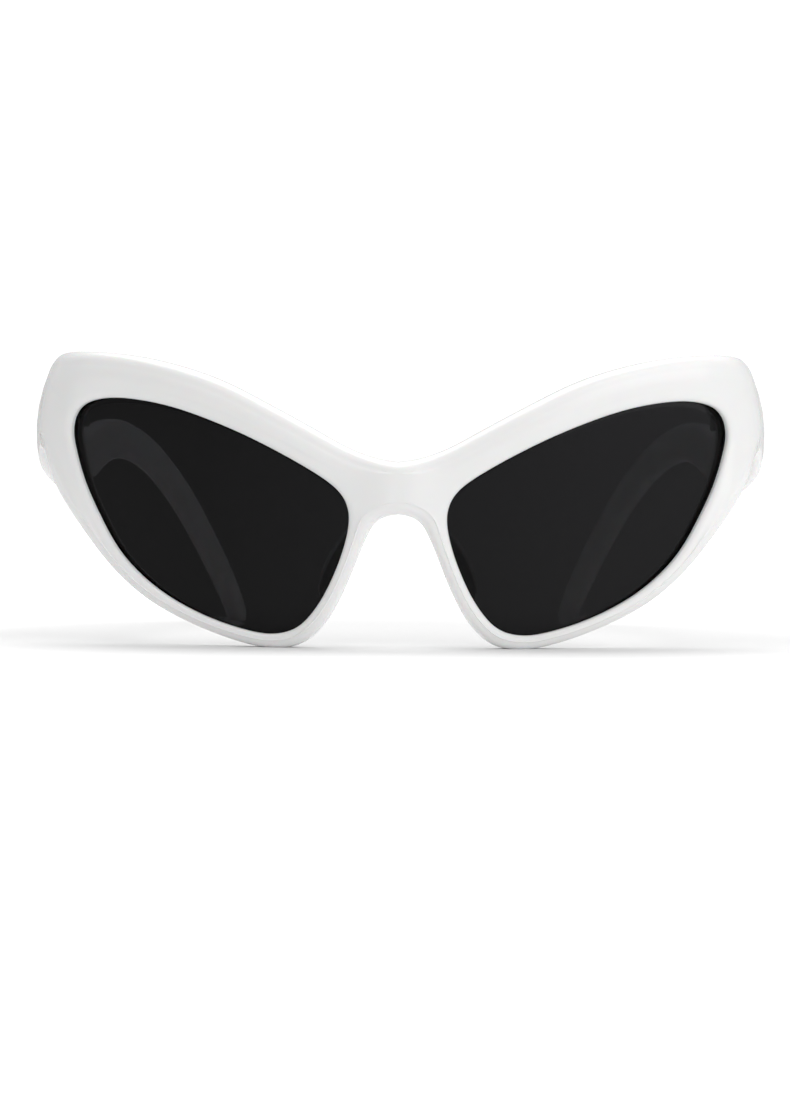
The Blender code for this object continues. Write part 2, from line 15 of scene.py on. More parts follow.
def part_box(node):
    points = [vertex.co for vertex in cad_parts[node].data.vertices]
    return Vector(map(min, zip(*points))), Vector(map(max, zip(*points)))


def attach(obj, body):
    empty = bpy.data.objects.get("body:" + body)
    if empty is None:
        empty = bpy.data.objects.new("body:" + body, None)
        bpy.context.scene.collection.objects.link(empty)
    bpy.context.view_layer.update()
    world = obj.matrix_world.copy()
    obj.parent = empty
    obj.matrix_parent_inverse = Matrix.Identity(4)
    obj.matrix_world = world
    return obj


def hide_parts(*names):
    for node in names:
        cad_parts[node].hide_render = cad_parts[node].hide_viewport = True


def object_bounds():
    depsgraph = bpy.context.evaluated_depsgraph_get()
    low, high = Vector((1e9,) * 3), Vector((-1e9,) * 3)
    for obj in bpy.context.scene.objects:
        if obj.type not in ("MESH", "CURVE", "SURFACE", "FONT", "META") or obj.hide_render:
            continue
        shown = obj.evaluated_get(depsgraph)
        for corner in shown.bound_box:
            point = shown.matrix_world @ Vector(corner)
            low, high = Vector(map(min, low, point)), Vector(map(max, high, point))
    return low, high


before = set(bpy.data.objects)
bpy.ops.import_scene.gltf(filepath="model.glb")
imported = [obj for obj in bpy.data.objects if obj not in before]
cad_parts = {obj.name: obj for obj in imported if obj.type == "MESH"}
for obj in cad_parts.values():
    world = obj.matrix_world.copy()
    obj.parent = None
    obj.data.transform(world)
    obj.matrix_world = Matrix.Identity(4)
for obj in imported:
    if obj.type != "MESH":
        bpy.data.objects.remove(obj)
CAD_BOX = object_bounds()        # its lowest and its highest corner, in metres

MM = 0.001
LEFT, RIGHT = 1, -1
SIDES = {LEFT: "left", RIGHT: "right"}
CLEARANCE = 0.3

# ---------------------------------------------------------------- the bent blank

BENDS = (                # length along the outer face, heading at its end in plan
    (67.2, 30.8),        # rims: base curve of 125 mm
    (15.6, 68.5),        # end piece
    (11.5, 92.5),        # shoulder of the temple
    (14.0, 99.5),
    (30.0, 102.0),
    (12.0, 118.5),
    (14.0, 129.0),
    (16.0, 123.0),       # ear bend, turning in behind the head
    (24.0, 98.0),
)
FRONT_Y = -65.07
TILT, TILT_HEIGHT = 0.079, 36.7
LEAN, LEAN_HEIGHT, LEAN_AT_BACK = 0.012, 42.0, 0.35
TUCK, TUCK_HEIGHT = 0.03, 40.0
CREST, CREST_SPREAD = 1.7, 5.5
THICKNESS = ((0.0, 5.0), (66.0, 5.0), (84.0, 5.3), (110.0, 4.8), (150.0, 4.0), (200.0, 3.6))

BROW = (                 # aperture u, z, outline u, z, from the top of the bridge
    (13.9, 32.7, 0.0, 36.7), (18.2, 35.4, 8.0, 38.5), (24.3, 38.7, 17.5, 43.4),
    (31.0, 41.9, 27.0, 48.3), (37.7, 44.6, 36.0, 52.6), (45.5, 47.2, 46.0, 55.8),
    (54.5, 49.0, 57.0, 58.0), (62.0, 49.4, 68.0, 58.9), (67.6, 48.2, 79.0, 59.1),
    (69.7, 46.5, 90.0, 59.0),
)
END = ((70.65, 44.5, 90.0, 51.0), (70.85, 42.3, 90.0, 43.4))
UNDER = (
    (69.9, 38.7, 83.2, 39.7), (67.8, 33.3, 77.4, 32.1), (63.7, 25.8, 70.5, 25.2),
    (58.8, 18.6, 63.9, 18.1), (50.4, 11.5, 53.2, 9.5), (40.6, 6.5, 41.4, 4.1),
    (31.2, 3.5, 31.2, 0.8), (25.3, 2.6, 24.6, -0.25), (20.2, 3.8, 19.3, 0.7),
    (16.2, 7.9, 14.0, 5.6), (12.7, 14.4, 9.9, 13.3), (10.4, 20.9, 6.7, 21.0),
    (9.7, 24.8, 4.1, 25.3), (9.85, 27.2, 0.0, 26.4),
)
NOSE = ((10.75, 29.5, 0.0, 30.0), (12.1, 31.2, 0.0, 33.3))
RIM_STEPS = 8            # sections from one rim station to the next
FAIRING = 8              # rounds of smoothing along a sampled outline

EDGE_FRONT, EDGE_BACK = 2.4, 1.5
EDGE_FADE = (84.5, 92.0)     # the rounding dies out beyond the joint, where the blank is cut off
LIP = 1.9
RIM_CROWN = 0.35
LENS_WELL = 1.0
GROOVE_FRONT, GROOVE_BACK, GROOVE_DEPTH = 1.5, 4.1, 1.0
LENS_FRONT, LENS_BACK = GROOVE_FRONT + CLEARANCE, GROOVE_BACK - CLEARANCE
LENS_MIDDLE = Vector((38.0, 27.0))

TEMPLE = (               # centre u, z, height of the section, its lean towards the tip
    (80.0, 49.0, 20.4, 0), (84.0, 48.9, 20.2, 0), (88.0, 47.2, 20.2, 8),
    (92.0, 43.8, 18.0, 18), (96.0, 40.2, 14.8, 22), (100.5, 37.4, 12.6, 16),
    (106.0, 36.0, 12.0, 2), (113.0, 36.6, 12.0, -12), (121.0, 39.2, 11.4, -16),
    (130.0, 41.8, 10.2, -11), (140.0, 43.2, 9.2, -2), (148.0, 42.9, 8.4, 12),
    (155.0, 40.8, 7.6, 26), (162.0, 36.4, 6.9, 40), (169.0, 29.8, 6.5, 48),
    (176.0, 21.6, 6.3, 52), (183.0, 12.9, 6.2, 53), (189.3, 5.0, 6.0, 52),
    (191.3, 2.5, 5.9, 52),
)
TEMPLE_STEPS = 8
TEMPLE_EDGE_OUT, TEMPLE_EDGE_IN = 2.3, 1.5

# ---------------------------------------------------------------- the hinges

JOINT_Y = FRONT_Y + 30.0
BELOW_TABLE = ((-90.0, -90.0, -20.0), (90.0, 90.0, 0.0))
BEHIND_JOINT = ((50.0, JOINT_Y, 20.0), (100.0, JOINT_Y + 40.0, 80.0))
AHEAD_OF_JOINT = ((40.0, JOINT_Y - 40.0, 20.0), (100.0, JOINT_Y + CLEARANCE, 80.0))

HINGE_X, HINGE_Y = 67.0, JOINT_Y + CLEARANCE / 2
BARREL_RADIUS, BORE_RADIUS, PIN_RADIUS = 1.6, 0.9, 0.6
FRONT_BARRELS = ((43.8, 45.9), (50.1, 52.2))
TEMPLE_BARREL = (46.8, 49.2)
WASHERS = ((46.15, 46.55), (49.45, 49.85))
BARREL_GAP = TEMPLE_BARREL[0] - FRONT_BARRELS[0][1] - 0.02
LEAF_BOTTOM, LEAF_TOP = FRONT_BARRELS[0][0], FRONT_BARRELS[1][1]
# Heading of a leaf in plan, then distances from the axis: start, end, inner face, screws.
Leaf = namedtuple("Leaf", "heading start end inner screws")
FRONT_LEAF = Leaf(-127.5, 0.05, 7.4, 0.67, 5.0)
TEMPLE_LEAF = Leaf(78.0, 1.0, 8.6, 1.2, 6.2)
LEAF_THICKNESS = 1.0
WEB_START, WEB_END = (0.13, 0.3), 2.6    # the strip that joins a barrel to its leaf
PIN_HEAD, PIN_HEAD_HEIGHT, PIN_SLOT = 1.15, 0.7, 0.28
WASHER_RADIUS, WASHER_EDGE, WASHER_SIDES = 1.5, 0.1, 48
SCREW_HEIGHTS = (46.0, 50.0)
SCREW_HEAD, SCREW_SHANK, SCREW_HOLE, SCREW_REACH = 1.0, 0.5, 0.8, 2.6
EASED = 0.12             # worn-off edge of the hinge metal

CHANNEL = ((82.0, 41.6), (88.0, 40.6), (94.0, 38.6), (100.0, 36.9), (107.0, 36.2), (114.0, 36.9),
           (122.0, 39.5), (131.0, 42.0), (140.0, 43.2), (148.0, 42.8), (155.0, 40.7), (162.0, 36.3))
WIRE_RADIUS = 0.6

# ---------------------------------------------------------------- the nose pads

PAD_SIZE = (2.0, 5.6, 8.6)   # half its thickness, half its depth, half its height
PAD_TAPER = 0.22             # slimmer towards the top
PAD_MIDDLE = (11.4, FRONT_Y + 8.2, 16.6)
PAD_LEAN, PAD_TURN = -21.0, -24.0
PAD_SEAT = ((3.0, 6.0), (24.0, 6.0), (24.0, 30.0), (3.0, 30.0))
RIM_BACK = 5.0 + CLEARANCE + 0.05

# ---------------------------------------------------------------- the studio

CAMERA_DISTANCE = 0.500      # from the bridge, in metres as all studio sizes but the paper and card
EYE_HEIGHT = 0.0266
FOCAL_LENGTH = 83.1
ORBIT, TIP, ROLL = 0.6, -0.94, 0.4       # round the bridge, down, and over, in degrees
SIDE_STEP = -0.0005

SURROUND_SEEN, SURROUND_LIGHT = 1.1, 0.52    # strength for the camera, and as light
# The paper's own glow, by metres from the middle of the glasses: none near them, where shadows lie.
GLOW = {"From Min": 0.045, "From Max": 0.3, "To Min": 0.0, "To Max": 1.05}
PAPER = ((-3000, -1500, -20), (3000, 6000, 0))
# The glowing card behind the lenses, painted light and shade seen through them: its glow at each end,
# darker behind the wearer's right lens as painted shade, half its width, and its outline from the side.
CARD_PAINTED_LIGHT = ("#6E6E6E", "#B8B8B8")
CARD_REACH = 400
CARD_SIDE = ((-55, 0.1), (75, 0.1), (90, 15), (90, 300), (92, 300), (92, 14), (76, 0.05), (-55, 0.05))
LIGHTS = (               # name, place, what it points at, size, power
    ("key", (0.72, -0.62, 0.38), (0, 0, 0.03), (0.8, 0.8), 2.7),
    ("top", (0.0, 0.1, 0.9), (0, 0, 0), (0.9, 0.9), 6.4),
)


def linear(code):
    """An sRGB hex colour as linear light."""
    channels = [int(code[i:i + 2], 16) / 255 for i in (1, 3, 5)]
    return tuple(c / 12.92 if c <= 0.04045 else ((c + 0.055) / 1.055) ** 2.4 for c in channels)


def smoothstep(low, high, value):
    """From 0 at low to 1 at high, level at both."""
    t = min(1.0, max(0.0, (value - low) / (high - low)))
    return t * t * (3.0 - 2.0 * t)


def plan(u):
    """Place and heading of the outer face at length u, in plan."""
    x, depth, heading, left = 0.0, 0.0, 0.0, u
    for length, end in BENDS:
        turn = radians(end) - heading
        step = min(left, length)
        after = heading + turn * step / length
        radius = length / turn
        x += radius * (sin(after) - sin(heading))
        depth += radius * (cos(heading) - cos(after))
        heading = after
        left -= step
        if left <= 0.0:
            break
    return x, depth, heading


def thickness(u):
    """Thickness of the blank at length u."""
    for (u0, t0), (u1, t1) in zip(THICKNESS, THICKNESS[1:]):
        if u <= u1:
            return t0 + (t1 - t0) * smoothstep(u0, u1, u)
    return THICKNESS[-1][1]


def place(u, z, w):
    """The point of the left half at length u, height z, depth w under the outer face."""
    x, depth, heading = plan(u)
    through = w / thickness(u)
    w -= CREST * exp(-(u / CREST_SPREAD) ** 2) * (1.0 - through)
    tilt = TILT * (TILT_HEIGHT - z) * (1.0 - smoothstep(60.0, 98.0, u))
    rise = max(0.0, z - LEAN_HEIGHT)
    lean = LEAN * rise * rise * smoothstep(62.0, 84.0, u) * (1.0 - smoothstep(88.0, 112.0, u))
    lean *= 1.0 - (1.0 - LEAN_AT_BACK) * through
    fall = max(0.0, TUCK_HEIGHT - z)
    lean += TUCK * fall * fall * smoothstep(78.0, 90.0, u) * (1.0 - smoothstep(106.0, 126.0, u))
    return Vector((x - w * sin(heading) - lean, FRONT_Y + depth + w * cos(heading) + tilt, z))


def spline(points, before, after, steps):
    """Points on a smooth curve from each given point to the next, without the last."""
    chain = [Vector(p) for p in (before, *points, after)]
    spans = [(b - a).length for a, b in zip(chain, chain[1:])]
    slopes = []
    for i in range(1, len(chain) - 1):
        back, ahead = spans[i - 1], spans[i]
        low, high = (chain[i] - chain[i - 1]) / back, (chain[i + 1] - chain[i]) / ahead
        slopes.append((low * ahead + high * back) / (back + ahead))
    curve = []
    for i in range(len(points) - 1):
        a, b, span = chain[i + 1], chain[i + 2], spans[i + 1]
        for k in range(steps):
            t = k / steps
            curve.append(a * (1 + 2 * t) * (1 - t) ** 2 + b * t * t * (3 - 2 * t)
                         + slopes[i] * span * t * (1 - t) ** 2 - slopes[i + 1] * span * t * t * (1 - t))
    return curve


def ahead_of(points):
    """A point one step beyond the end of an open run, in line with it."""
    return 2 * Vector(points[-1]) - Vector(points[-2])


def mirrored_point(point):
    """The same point on the other side of the bridge."""
    return Vector((-point[0], point[1]))


def faired(curve, fixed):
    """A closed run of points, smoothed along itself except at the fixed ones."""
    for _ in range(FAIRING):
        count = len(curve)
        curve = [p if i in fixed else (curve[i - 1] + 2 * p + curve[(i + 1) % count]) / 4
                 for i, p in enumerate(curve)]
    return curve


def left_normals(curve):
    """Unit normals to the left of travel along a closed run of points, stretched at corners."""
    count = len(curve)
    normals = []
    for i in range(count):
        back = (curve[i] - curve[i - 1]).normalized()
        ahead = (curve[(i + 1) % count] - curve[i]).normalized()
        both = (back + ahead).normalized()
        stretch = 1.0 / max(0.7, both.dot(ahead))
        normals.append(Vector((-both.y, both.x)) * stretch)
    return normals


Station = namedtuple("Station", "aperture outline outward inward lip_room edge_room nose")


def room(point, curve):
    """Distance from a point to the nearest point of a curve."""
    return min((point - other).length for other in curve)


def rim_stations(steps):
    """The sections round the rim; nose is the share along the bridge's middle, or None off it."""
    rows = BROW + END + UNDER + NOSE
    aperture = [Vector(row[:2]) for row in rows]
    aperture = faired(spline([*aperture, aperture[0]], aperture[-1], aperture[1], steps), ())
    brow = [Vector(row[2:]) for row in BROW]
    end = [brow[-1], *(Vector(row[2:]) for row in END)]
    under = [end[-1], *(Vector(row[2:]) for row in UNDER)]
    nose = [under[-1], *(Vector(row[2:]) for row in NOSE), brow[0]]
    outline = spline(brow, mirrored_point(brow[1]), ahead_of(brow), steps)
    corners = [0, len(outline)]
    outline += spline(end, ahead_of(end[1::-1]), ahead_of(end), steps)
    corners.append(len(outline))
    outline += spline(under, ahead_of(under[1::-1]), mirrored_point(under[-2]), steps)
    first_nose = len(outline)
    outline += spline(nose, ahead_of(nose[1::-1]), ahead_of(nose), steps)
    outline = faired(outline, {*corners, *range(first_nose, len(outline))})
    outward = left_normals(aperture)
    inward = [-n for n in left_normals(outline)]
    inward[0] = Vector((0.0, -1.0))
    inward[first_nose] = Vector((0.0, 1.0))
    stations = []
    for i, (a, o) in enumerate(zip(aperture, outline)):
        share = (i - first_nose) / (len(aperture) - first_nose) if i > first_nose else None
        stations.append(Station(a, o, outward[i], inward[i], room(a, outline), room(o, aperture), share))
    return stations


def middle_point(edge, share):
    """A point on the bridge's middle line, between the rounded edges above and below."""
    top, bottom = BROW[0][3] - edge, UNDER[-1][3] + edge
    return Vector((0.0, bottom + (top - bottom) * share))


FACE_ROWS = 9            # rows of points across the face of the rim
EDGE_ROWS = 8            # rows of points round each half of its outer edge
LIP_ROLL = (             # share of the lip's width, depth, from the lens out to the face
    (0.0, LENS_WELL), (0.03, 0.78), (0.13, 0.55), (0.29, 0.34), (0.5, 0.18), (0.74, 0.06), (1.0, 0.0),
)
HEEL, HEEL_DROP = 0.7, 0.45          # the eased inner edge at the back of the rim
LENS_END = 66.0                      # the rim beside the lens is no deeper than at this length
SHOULDER = len(LIP_ROLL) + FACE_ROWS - 1
BACK_SHOULDER = SHOULDER + 2 * EDGE_ROWS + 1


def rim_section(station):
    """One section of the rim as (u, z, w): lip, face, outer edge, back, and the grooved lens seat.

    It runs between a on the aperture and o on the outline; m and n point from them into the rim.
    """
    a, o, m, n, lip_room, edge_room, nose = station
    narrow = min(1.0, 0.4 * lip_room / LIP)
    fade = 1.0 - 0.9 * smoothstep(*EDGE_FADE, o.x)
    edge = min(EDGE_FRONT, 0.5 * edge_room) * fade
    back_edge = min(EDGE_BACK, 0.4 * edge_room) * fade
    deep = thickness(min(o.x, LENS_END))
    end_deep = thickness(o.x)
    shoulder = o + n * edge if nose is None else middle_point(EDGE_FRONT, nose)
    back_shoulder = o + n * back_edge if nose is None else middle_point(EDGE_BACK, nose)
    crown = -RIM_CROWN * min(1.0, lip_room / 8.0)
    ring = [(a + m * LIP * narrow * reach, w) for reach, w in LIP_ROLL]
    lip = ring[-1][0]
    for k in range(1, FACE_ROWS):
        share = k / FACE_ROWS
        ring.append((lip.lerp(shoulder, share), crown * 4 * share * (1 - share)))
    ring.append((shoulder, 0.0))
    for k in range(1, EDGE_ROWS + 1):
        angle = pi / 2 * k / EDGE_ROWS
        ring.append((o + n * edge * (1 - sin(angle)), edge * (1 - cos(angle))))
    for k in range(EDGE_ROWS):
        angle = pi / 2 * k / EDGE_ROWS
        ring.append((o + n * back_edge * (1 - cos(angle)), end_deep - back_edge * (1 - sin(angle))))
    ring.append((back_shoulder, end_deep))
    heel = a + m * HEEL * narrow
    for k in range(1, FACE_ROWS):
        share = k / FACE_ROWS
        ring.append((back_shoulder.lerp(heel, share), end_deep + (deep - end_deep) * share))
    ring += [(heel, deep), (a + m * 0.2 * narrow, deep - 0.13), (a, deep - HEEL_DROP)]
    groove = a + m * GROOVE_DEPTH
    ring += [(a, GROOVE_BACK), (groove, GROOVE_BACK), (groove, GROOVE_FRONT), (a, GROOVE_FRONT)]
    return [(p.x, p.y, w) for p, w in ring]


def skin_between(bm, here, there, open_rows=()):
    """Faces from one ring of points to the next."""
    for k in range(len(here)):
        n = (k + 1) % len(here)
        if k not in open_rows:
            bm.faces.new((here[k], here[n], there[n], there[k]))


def front_shell():
    """The whole moulded front: one half, and its mirror image joined down the bridge."""
    stations = rim_stations(RIM_STEPS)
    bm = bmesh.new()
    rings = [[bm.verts.new(place(*point)) for point in rim_section(row)] for row in stations]
    for i in range(len(stations)):
        n = (i + 1) % len(stations)
        beside_nose = stations[i].nose is not None or stations[n].nose is not None
        skin_between(bm, rings[i], rings[n], range(SHOULDER, BACK_SHOULDER) if beside_nose else ())
    loose = [v for v in bm.verts if not v.link_faces]
    bmesh.ops.delete(bm, geom=loose, context="VERTS")
    half = [*bm.verts, *bm.edges, *bm.faces]
    copy = bmesh.ops.duplicate(bm, geom=half)["geom"]
    verts = [item for item in copy if isinstance(item, bmesh.types.BMVert)]
    bmesh.ops.scale(bm, vec=(-1, 1, 1), verts=verts)
    bmesh.ops.remove_doubles(bm, verts=bm.verts, dist=0.001)
    return bm


def loft(rings):
    """A closed skin over rings of points."""
    bm = bmesh.new()
    loops = [[bm.verts.new(point) for point in ring] for ring in rings]
    for here, there in zip(loops, loops[1:]):
        skin_between(bm, here, there)
    bm.faces.new(reversed(loops[0]))
    bm.faces.new(loops[-1])
    return bm


def temple_section(u, z, height, lean):
    """A rounded section, flat inside and slightly crowned outside."""
    deep = thickness(u)
    half = height / 2
    outer = min(TEMPLE_EDGE_OUT, 0.48 * deep, 0.9 * half)
    inner = min(TEMPLE_EDGE_IN, 0.4 * deep, 0.9 * half)
    angles = [pi / 2 * k / 6 for k in range(7)]
    arc = [(half - outer * (1 - sin(a)), outer * (1 - cos(a))) for a in angles]
    arc += [(half - inner * (1 - sin(a)), deep - inner * (1 - cos(a))) for a in reversed(angles)]
    face = [k / 5 * 2 - 1 for k in range(1, 5)]
    inside = [(-k * (half - inner), deep) for k in face]
    outside = [(k * (half - outer), -0.02 * height * (1 - k * k)) for k in face]
    ring = arc + inside + [(-q, w) for q, w in reversed(arc)] + outside
    across = Vector((sin(radians(lean)), cos(radians(lean))))
    return [place(u + q * across.x, z + q * across.y, w) for q, w in ring]


def temple_shell():
    """The whole moulded temple, still uncut at the joint, with a rounded tip."""
    rows = [Vector(row) for row in TEMPLE]
    stations = spline(rows, ahead_of(rows[1::-1]), ahead_of(rows), TEMPLE_STEPS) + [rows[-1]]
    for _ in range(FAIRING):
        middle = [(a + 2 * b + c) / 4 for a, b, c in zip(stations, stations[1:], stations[2:])]
        stations = [stations[0], *middle, stations[-1]]
    rings = [temple_section(*row) for row in stations]
    u, z, height, lean = rows[-1]
    forward = Vector((cos(radians(lean)), -sin(radians(lean))))
    for angle in (12, 24, 36, 48, 60, 70, 79):
        reach = height / 2 * sin(radians(angle))
        taper = height * cos(radians(angle))
        rings.append(temple_section(u + reach * forward.x, z + reach * forward.y, taper, lean))
    return loft(rings)


def lens_blank():
    """A curved lens as rings from its middle to its edge and back, with an eased edge."""
    edge = [row.aperture + row.outward * (GROOVE_DEPTH - CLEARANCE) for row in rim_stations(RIM_STEPS)]
    shares = [0.04, *(k / 12 for k in range(1, 12)), 0.985]
    levels = [(LENS_FRONT, s) for s in shares] + [(LENS_FRONT + 0.1, 0.997), (LENS_FRONT + 0.35, 1.0)]
    levels += [(LENS_BACK - 0.35, 1.0), (LENS_BACK - 0.1, 0.997)]
    levels += [(LENS_BACK, s) for s in reversed(shares)]
    rings = []
    for w, share in levels:
        points = [LENS_MIDDLE.lerp(p, share) for p in edge]
        rings.append([place(p.x, p.y, w) for p in points])
    return loft(rings)


# ---------------------------------------------------------------- turning shapes into objects

def into_object(name, bm, side=LEFT):
    """A left-hand mesh in millimetres as an object in metres on the given side."""
    if side == RIGHT:
        bmesh.ops.scale(bm, vec=(-1, 1, 1), verts=bm.verts)
    bmesh.ops.recalc_face_normals(bm, faces=bm.faces)
    bmesh.ops.scale(bm, vec=(MM, MM, MM), verts=bm.verts)
    mesh = bpy.data.meshes.new(name)
    bm.to_mesh(mesh)
    bm.free()
    made = bpy.data.objects.new(name, mesh)
    bpy.context.scene.collection.objects.link(made)
    return made


def settle(made, skin, crease=35):
    """Apply the modifiers, keep the mesh in the CAD box, and give it its material."""
    bpy.context.view_layer.update()
    evaluated = made.evaluated_get(bpy.context.evaluated_depsgraph_get())
    mesh = bpy.data.meshes.new_from_object(evaluated)
    made.modifiers.clear()
    made.data = mesh
    for v in mesh.vertices:
        v.co = Vector(min(max(c, low), high) for c, low, high in zip(v.co, *CAD_BOX))
    mesh.materials.clear()
    mesh.materials.append(skin)
    mesh.shade_smooth()
    mesh.set_sharp_from_angle(angle=radians(crease))
    return made


def block(low, high, turn=Matrix()):
    """A box between two corners, then turned and moved."""
    bm = bmesh.new()
    bmesh.ops.create_cube(bm, size=1.0)
    size = Vector(high) - Vector(low)
    bmesh.ops.scale(bm, vec=size, verts=bm.verts)
    bmesh.ops.translate(bm, vec=Vector(low) + size / 2, verts=bm.verts)
    bmesh.ops.transform(bm, matrix=turn, verts=bm.verts)
    return bm


def rod(radius, start, end, turn=Matrix(), segments=48):
    """A cylinder from start to end."""
    bm = bmesh.new()
    start, end = Vector(start), Vector(end)
    line = end - start
    bmesh.ops.create_cone(bm, cap_ends=True, segments=segments, radius1=radius, radius2=radius,
                          depth=line.length)
    upright = line.to_track_quat("Z", "Y").to_matrix().to_4x4()
    bmesh.ops.transform(bm, matrix=turn @ Matrix.Translation((start + end) / 2) @ upright,
                        verts=bm.verts)
    return bm


def ease(target, width=EASED):
    """Round the sharp edges of a metal piece a little, as tumbling does."""
    bevel = target.modifiers.new("Eased edges", "BEVEL")
    bevel.width = width * MM
    bevel.segments = 2
    bevel.limit_method = "ANGLE"
    bevel.angle_limit = radians(40)
    bevel.use_clamp_overlap = True


class Bench:
    """Cuts and joins pieces on one side, and clears its tools away at the end."""

    def __init__(self, side):
        self.side = side
        self.tools = []

    def piece(self, name, bm):
        return into_object(f"{name}_{SIDES[self.side]}", bm, self.side)

    def change(self, target, bm, operation="DIFFERENCE"):
        tool = into_object("tool", bm, self.side)
        self.tools.append(tool)
        step = target.modifiers.new(operation.title(), "BOOLEAN")
        step.operation = operation
        step.object = tool

    def sweep(self):
        for tool in self.tools:
            bpy.data.objects.remove(tool)
        self.tools = []


def leaf_frame(heading):
    """Local frame of a hinge leaf: x along it, y out to the plastic, z up, from the axis."""
    angle = radians(heading)
    along = Vector((cos(angle), sin(angle), 0.0))
    out = Vector((sin(angle), -cos(angle), 0.0))
    if out.x < 0:
        out.negate()
    turn = Matrix((along, out, Vector((0.0, 0.0, 1.0)))).transposed().to_4x4()
    return Matrix.Translation((HINGE_X, HINGE_Y, 0.0)) @ turn


def leaf_seat(bench, plastic, leaf):
    """Pocket, barrel room and screw holes for a leaf, cut in the plastic."""
    turn = leaf_frame(leaf.heading)
    low, high = LEAF_BOTTOM - CLEARANCE, LEAF_TOP + CLEARANCE
    outer = leaf.inner + LEAF_THICKNESS
    pocket = block((-0.5, -2.5, low), (leaf.end + CLEARANCE, outer + CLEARANCE, high), turn)
    bench.change(plastic, pocket)
    reach = BARREL_RADIUS + CLEARANCE
    bench.change(plastic, rod(reach, (0, 0, low - 0.02), (0, 0, high + 0.02), turn))
    bottom = outer + SCREW_REACH + CLEARANCE
    for z in SCREW_HEIGHTS:
        bench.change(plastic, rod(SCREW_HOLE, (leaf.screws, 0, z), (leaf.screws, bottom, z), turn, 24))


def hinge_leaf(bench, name, leaf, own_barrels, other_barrels):
    """A stamped plate with rolled barrels, its edges eased."""
    turn = leaf_frame(leaf.heading)
    outer = leaf.inner + LEAF_THICKNESS
    plate = block((leaf.start, leaf.inner, LEAF_BOTTOM + 0.1), (leaf.end, outer, LEAF_TOP - 0.1), turn)
    made = bench.piece(name, plate)
    for low, high in own_barrels:
        bench.change(made, rod(BARREL_RADIUS, (0, 0, low), (0, 0, high), turn), "UNION")
        web = block((*WEB_START, low + 0.15), (WEB_END, leaf.inner + 0.5, high - 0.15), turn)
        bench.change(made, web, "UNION")
    reach = BARREL_RADIUS + CLEARANCE
    for low, high in other_barrels:
        gap = block((-reach, -4.0, low - BARREL_GAP), (reach, 6.0, high + BARREL_GAP), turn)
        bench.change(made, gap)
    bench.change(made, rod(BORE_RADIUS, (0, 0, LEAF_BOTTOM - 1), (0, 0, LEAF_TOP + 1), turn))
    for z in SCREW_HEIGHTS:
        bench.change(made, rod(SCREW_HOLE, (leaf.screws, -1, z), (leaf.screws, 5, z), turn, 32))
    ease(made)
    return made


def hinge_pin(bench):
    """The hinge screw: a slotted head under the lowest barrel and a shank up through all three."""
    turn = leaf_frame(90.0)
    seat = LEAF_BOTTOM - 0.2
    made = bench.piece("hinge_pin", rod(PIN_HEAD, (0, 0, seat - PIN_HEAD_HEIGHT), (0, 0, seat), turn))
    bench.change(made, rod(PIN_RADIUS, (0, 0, seat - 0.3), (0, 0, LEAF_TOP + 0.1), turn), "UNION")
    slot = PIN_SLOT / 2
    bench.change(made, block((-2, -slot, seat - 1.0), (2, slot, seat - 0.4), turn))
    ease(made, 0.08)
    return made


def nose_pad(bench):
    """A teardrop pad, flat where it is bonded behind the nasal side of the rim."""
    bm = bmesh.new()
    bmesh.ops.create_uvsphere(bm, u_segments=64, v_segments=40, radius=1.0)
    for v in bm.verts:
        v.co.x *= 1.0 - PAD_TAPER * v.co.z
        v.co.y *= 1.0 - PAD_TAPER * v.co.z
    bmesh.ops.scale(bm, vec=PAD_SIZE, verts=bm.verts)
    lean = Matrix.Rotation(radians(PAD_LEAN), 4, "Y") @ Matrix.Rotation(radians(PAD_TURN), 4, "Z")
    bmesh.ops.transform(bm, matrix=Matrix.Translation(PAD_MIDDLE) @ lean, verts=bm.verts)
    made = bench.piece("pad", bm)
    bench.change(made, loft([[place(u, z, w) for u, z in PAD_SEAT] for w in (-12.0, RIM_BACK)]))
    return made


# ---------------------------------------------------------------- materials

def add_node(tree, kind, inputs=(), **settings):
    """A node with its settings; inputs are values or sockets to link."""
    node = tree.nodes.new(kind)
    for key, value in settings.items():
        setattr(node, key, value)
    for key, value in dict(inputs).items():
        if isinstance(value, bpy.types.NodeSocket):
            tree.links.new(value, node.inputs[key])
        else:
            node.inputs[key].default_value = value
    return node


def new_material(name):
    """An empty material, its node tree, and its object coordinates."""
    made = bpy.data.materials.new(name)
    made.use_nodes = True
    tree = made.node_tree
    tree.nodes.clear()
    return made, tree, add_node(tree, "ShaderNodeTexCoord").outputs["Object"]


def output(tree, shader):
    """The surface of a material."""
    add_node(tree, "ShaderNodeOutputMaterial", {"Surface": shader})


def grain(tree, where, size_mm, detail=2.0, stretch=(1, 1, 1)):
    """Noise whose lumps are about size_mm across."""
    mapped = add_node(tree, "ShaderNodeMapping", {"Vector": where, "Scale": stretch})
    noise = add_node(tree, "ShaderNodeTexNoise",
                     {"Vector": mapped.outputs["Vector"], "Scale": 1000.0 / size_mm, "Detail": detail})
    return noise.outputs["Fac"]


def spread(tree, value, low, high):
    """Noise, which gathers round one half, spread over a range."""
    return add_node(tree, "ShaderNodeMapRange",
                    {"Value": value, "From Min": 0.3, "From Max": 0.7, "To Min": low, "To Max": high})


def two_tone(tree, factor, low, high):
    """A colour between two, by a factor from 0 to 1."""
    first, second, result = 6, 7, 2      # the colour sockets of a Mix node
    mix = add_node(tree, "ShaderNodeMix",
                   {"Factor": factor, first: (*linear(low), 1.0), second: (*linear(high), 1.0)},
                   data_type="RGBA")
    return mix.outputs[result]


